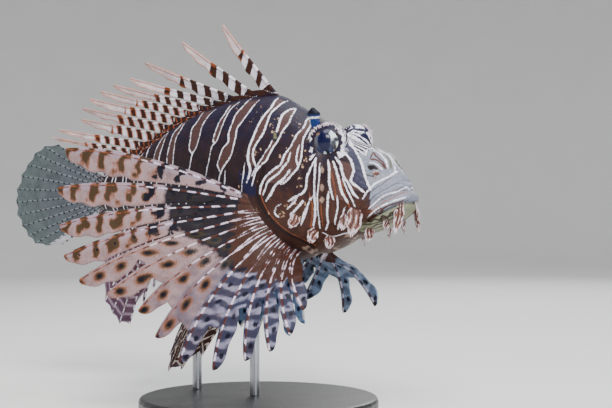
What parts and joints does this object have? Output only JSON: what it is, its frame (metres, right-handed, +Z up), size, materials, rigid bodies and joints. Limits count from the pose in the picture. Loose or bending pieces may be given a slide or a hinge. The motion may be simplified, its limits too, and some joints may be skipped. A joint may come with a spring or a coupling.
{
  "type": "red lionfish display model",
  "caption": "Life-size still model of a red lionfish: striped body, raised banded dorsal spines and wide fanned fins, held over a round base by short rods.",
  "frame": {"origin": "middle of the underside of the stand's round base", "axes": "+X the way the fish heads, +Y the fish's left, +Z up"},
  "size_m": [0.3065, 0.1376, 0.2109],
  "materials": {
    "skin": "satin, wet-looking striped skin",
    "fin": "thin banded and spotted membrane on bony rays",
    "eye": "glossy",
    "stand_base": "satin black",
    "stand_rod": "brushed"
  },
  "bodies": {
    "root": {"head": "skin", "lower_jaw": "skin", "torso": "skin", "tail_stalk": "skin", "brow_tentacle_left": "skin", "brow_tentacle_right": "skin", "eye_left": "eye", "eye_right": "eye", "spiny_dorsal_fin": "fin", "soft_dorsal_fin": "fin", "caudal_fin": "fin", "anal_fin": "fin", "pelvic_fin_left": "fin", "pelvic_fin_right": "fin", "pectoral_fin_left": "fin", "pectoral_fin_right": "fin", "stand_base": "stand_base", "stand_rod_front": "stand_rod", "stand_rod_rear": "stand_rod"}
  },
  "joints": []
}
